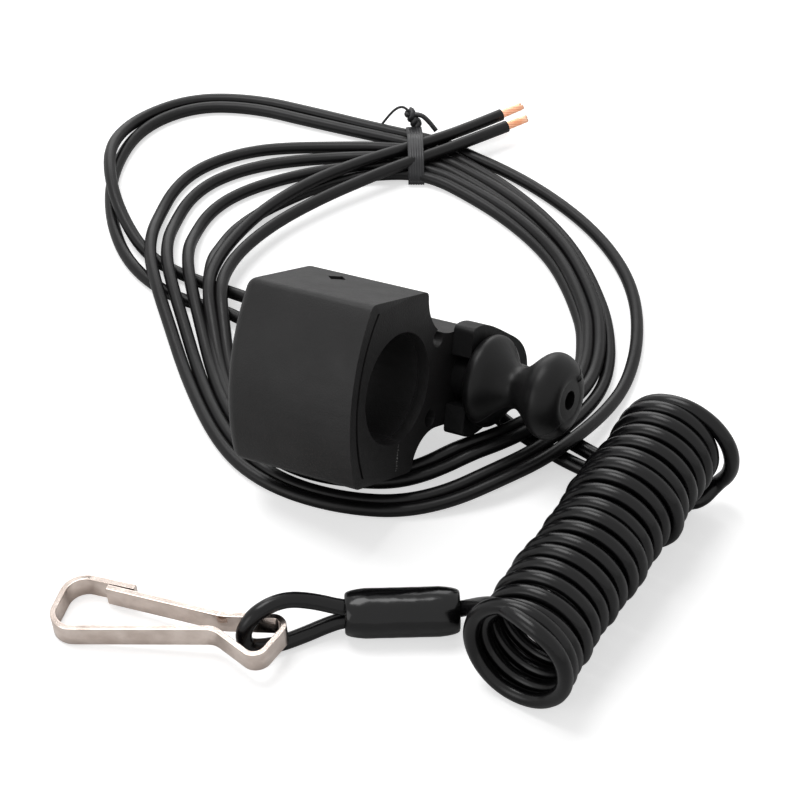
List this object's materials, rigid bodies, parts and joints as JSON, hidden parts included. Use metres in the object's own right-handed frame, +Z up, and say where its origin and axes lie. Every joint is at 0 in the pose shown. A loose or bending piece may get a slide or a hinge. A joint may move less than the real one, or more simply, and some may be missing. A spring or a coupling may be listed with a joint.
{
  "type": "engine kill switch with lanyard",
  "caption": "Black handlebar kill switch: clamp housing, pull button held out by a forked clip on a coiled lanyard with a snap hook, and coiled leads.",
  "frame": {"origin": "centre of the handlebar bore, 25.52 mm above the surface on which the part lies", "axes": "+Z up from that surface, +Y away from the viewer, +X to the right; the bore runs along the bar_clamp axis, 31 degrees right of -Y's left normal and rising 11.6 degrees towards the button"},
  "size_m": [0.1347, 0.1909, 0.0501],
  "materials": {
    "housing": "moulded satin black with a faint texture",
    "button": "satin black, smoother than the housing",
    "clip": "moulded matte black",
    "insulator": "plain black",
    "black_steel": "black oxide",
    "spring_steel": "bright drawn wire",
    "brass": "plain turned",
    "copper": "bright bare copper strands",
    "wire_jacket": "semi-matte black jacket",
    "tie": "thin black plastic over wire",
    "lanyard_cord": "glossy black cord",
    "lanyard_sleeve": "glossy black soft sleeve",
    "nickel": "bright nickel plate"
  },
  "bodies": {
    "housing": {"housing_front": "housing", "housing_rear": "housing", "clamp_screws": "black_steel", "threaded_inserts": "brass", "return_spring": "spring_steel", "contact_base": "insulator", "terminal_upper": "brass", "terminal_lower": "brass", "end_cap": "insulator", "lead_sleeve_upper": "wire_jacket", "lead_sleeve_lower": "wire_jacket", "wire_coil": "wire_jacket", "wire_lead_upper": "wire_jacket", "wire_lead_lower": "wire_jacket", "wire_tail_upper": "wire_jacket", "wire_tail_lower": "wire_jacket", "copper_end_upper": "copper", "copper_end_lower": "copper", "twist_tie": "tie", "lanyard_coil": "lanyard_cord", "lanyard_lead": "lanyard_cord", "lanyard_tail": "lanyard_cord", "lanyard_crimp": "black_steel", "clip_loop": "lanyard_cord", "lanyard_sleeve": "lanyard_sleeve", "hook_loop": "lanyard_cord", "snap_hook": "nickel"},
    "button": {"button": "button", "plunger_stem": "spring_steel", "contact_disc": "brass", "retaining_ring": "spring_steel"},
    "kill_clip": {"kill_clip": "clip"}
  },
  "joints": [
    {"name": "button_pull", "type": "slide", "parent": "housing", "child": "button", "axis": [0.8397, -0.5045, 0.2011], "range_m": [0, 0.0015], "stiffness_N_per_m": 500, "springref_m": -0.008, "deforming": ["return_spring"]},
    {"name": "clip_release", "type": "slide", "parent": "housing", "child": "kill_clip", "axis": [0.5342, 0.7004, -0.4734], "range_m": [0, 0.013], "deforming": ["clip_loop"]}
  ]
}
